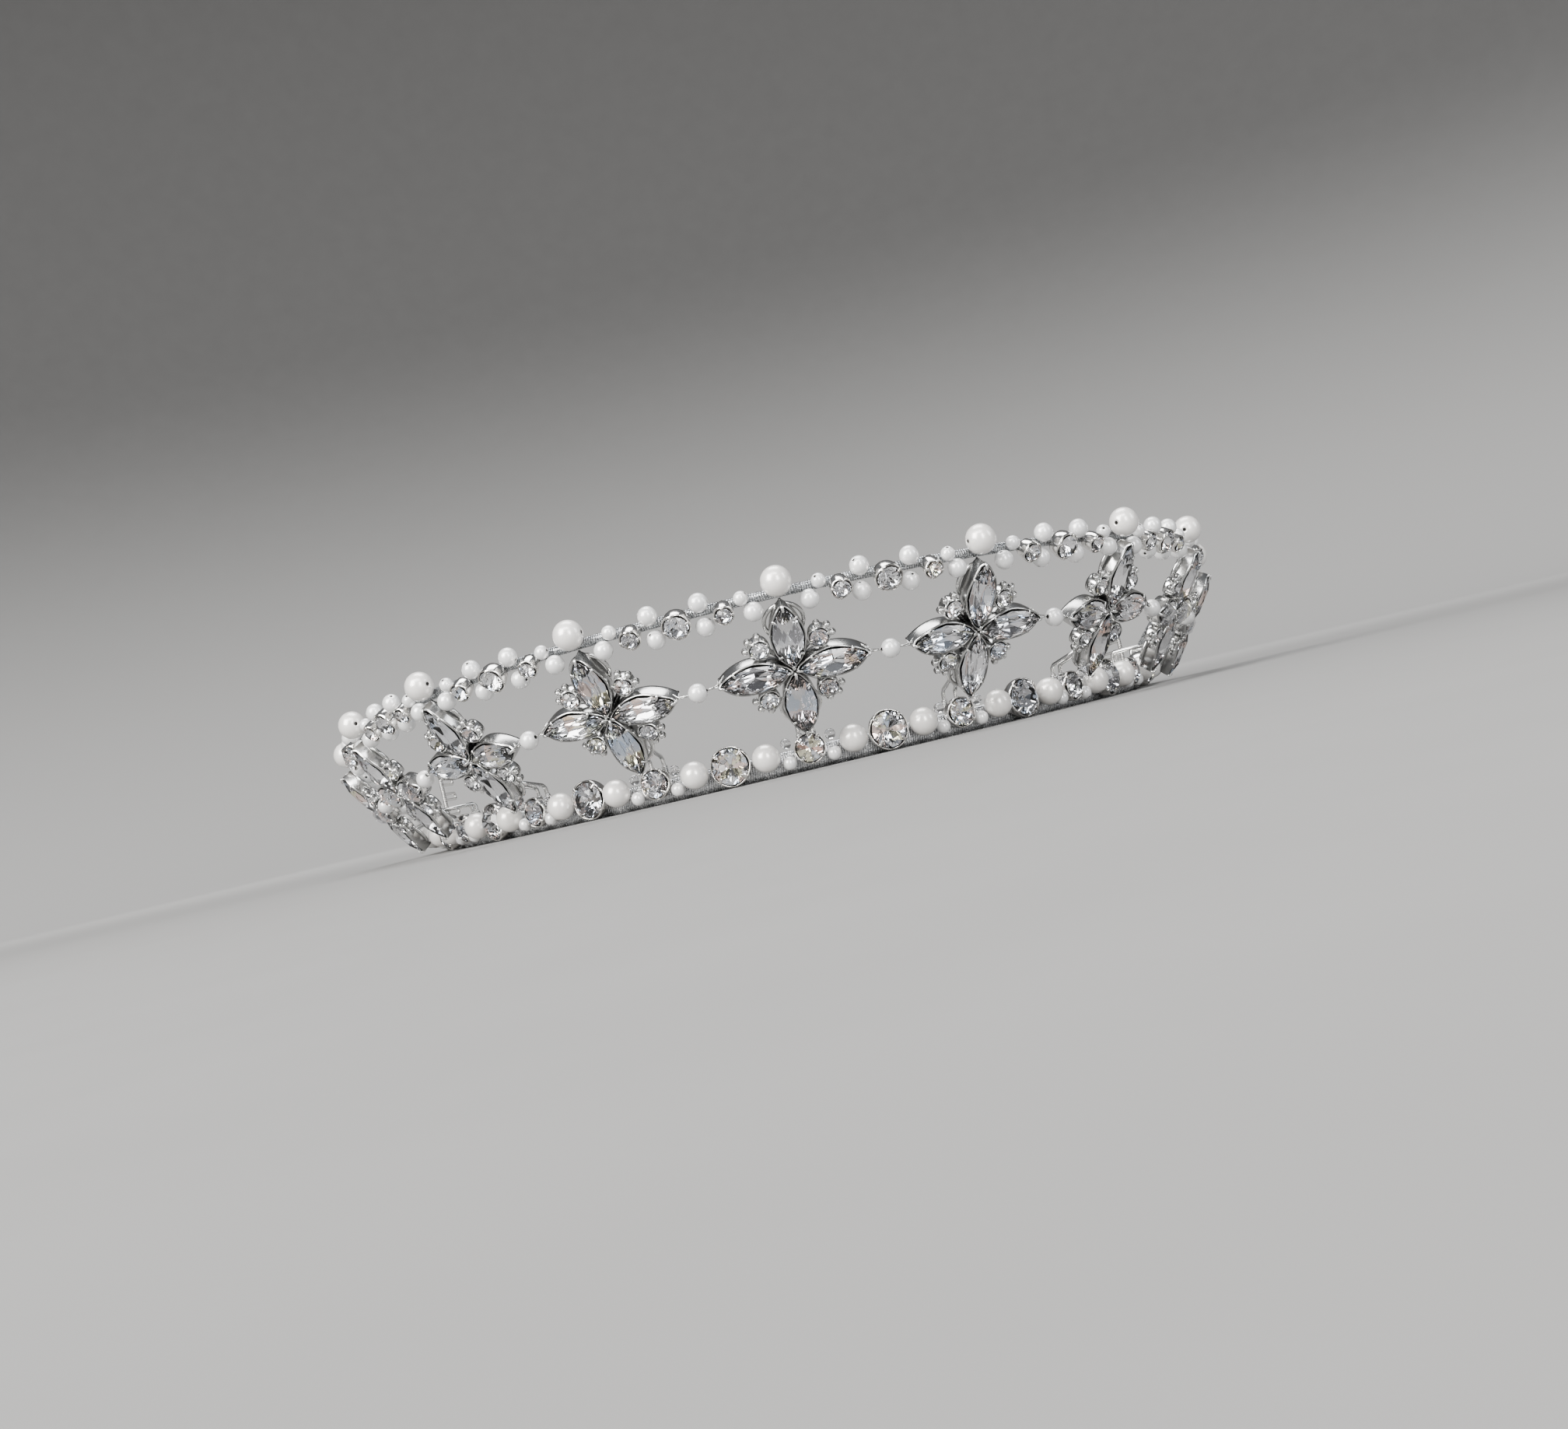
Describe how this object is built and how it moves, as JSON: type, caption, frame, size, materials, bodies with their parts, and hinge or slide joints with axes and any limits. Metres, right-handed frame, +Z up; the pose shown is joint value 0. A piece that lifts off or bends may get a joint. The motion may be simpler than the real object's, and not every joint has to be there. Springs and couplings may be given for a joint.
{
  "type": "kokoshnik tiara",
  "caption": "Halo tiara: crystal flowers stand between a thread-wrapped headband with a row of pearls and stones and a beaded rim wire; a wire comb inside each tip holds it in the hair.",
  "frame": {"origin": "middle of the bottom of the bounding box, on the surface that the tiara rests on", "axes": "+X sideways across the tiara, towards the wearer's left; -Y the front; +Z up"},
  "size_m": [0.2184, 0.1815, 0.0411],
  "materials": {
    "wrapped_band": "silver metallic thread wound tightly over a metal strip, glittering",
    "wrapped_wire": "grey-silver thread wound round a wire",
    "comb_wire": "bright drawn wire",
    "setting_metal": "rhodium plated, polished",
    "flower_metal": "rhodium plated, darker in the crevices",
    "fine_wire": "fine silver-coloured wire",
    "crystal": "clear cut glass with a silver foil back",
    "pearl": "warm white imitation pearl, satin lustre",
    "seed_bead": "small white pearls and clear glass seeds"
  },
  "bodies": {
    "root": {"base_band": "wrapped_band", "rim_wire": "wrapped_wire", "comb_left": "comb_wire", "comb_right": "comb_wire", "base_cups": "setting_metal", "base_crystals": "crystal", "base_seeds": "seed_bead", "rim_small_pearls": "pearl", "rim_cups": "setting_metal", "rim_crystals": "crystal", "link_pearls": "pearl", "link_wires": "fine_wire", "flower_mount_1": "flower_metal", "flower_mount_2": "flower_metal", "flower_mount_3": "flower_metal", "flower_mount_4": "flower_metal", "flower_mount_5": "flower_metal", "flower_mount_6": "flower_metal", "flower_mount_7": "flower_metal", "flower_mount_8": "flower_metal", "flower_mount_9": "flower_metal", "flower_stones_1": "crystal", "flower_stones_2": "crystal", "flower_stones_3": "crystal", "flower_stones_4": "crystal", "flower_stones_5": "crystal", "flower_stones_6": "crystal", "flower_stones_7": "crystal", "flower_stones_8": "crystal", "flower_stones_9": "crystal", "rim_pearl_1": "pearl", "rim_pearl_2": "pearl", "rim_pearl_3": "pearl", "rim_pearl_4": "pearl", "rim_pearl_5": "pearl", "rim_pearl_6": "pearl", "rim_pearl_7": "pearl", "rim_pearl_8": "pearl", "rim_pearl_9": "pearl", "base_pearl_1": "pearl", "base_pearl_2": "pearl", "base_pearl_3": "pearl", "base_pearl_4": "pearl", "base_pearl_5": "pearl", "base_pearl_6": "pearl", "base_pearl_7": "pearl", "base_pearl_8": "pearl", "base_pearl_9": "pearl", "base_pearl_10": "pearl", "base_pearl_11": "pearl", "base_pearl_12": "pearl", "base_pearl_13": "pearl", "base_pearl_14": "pearl", "base_pearl_15": "pearl", "base_pearl_16": "pearl", "base_pearl_17": "pearl", "base_pearl_18": "pearl", "base_pearl_19": "pearl", "base_pearl_20": "pearl"}
  },
  "joints": []
}
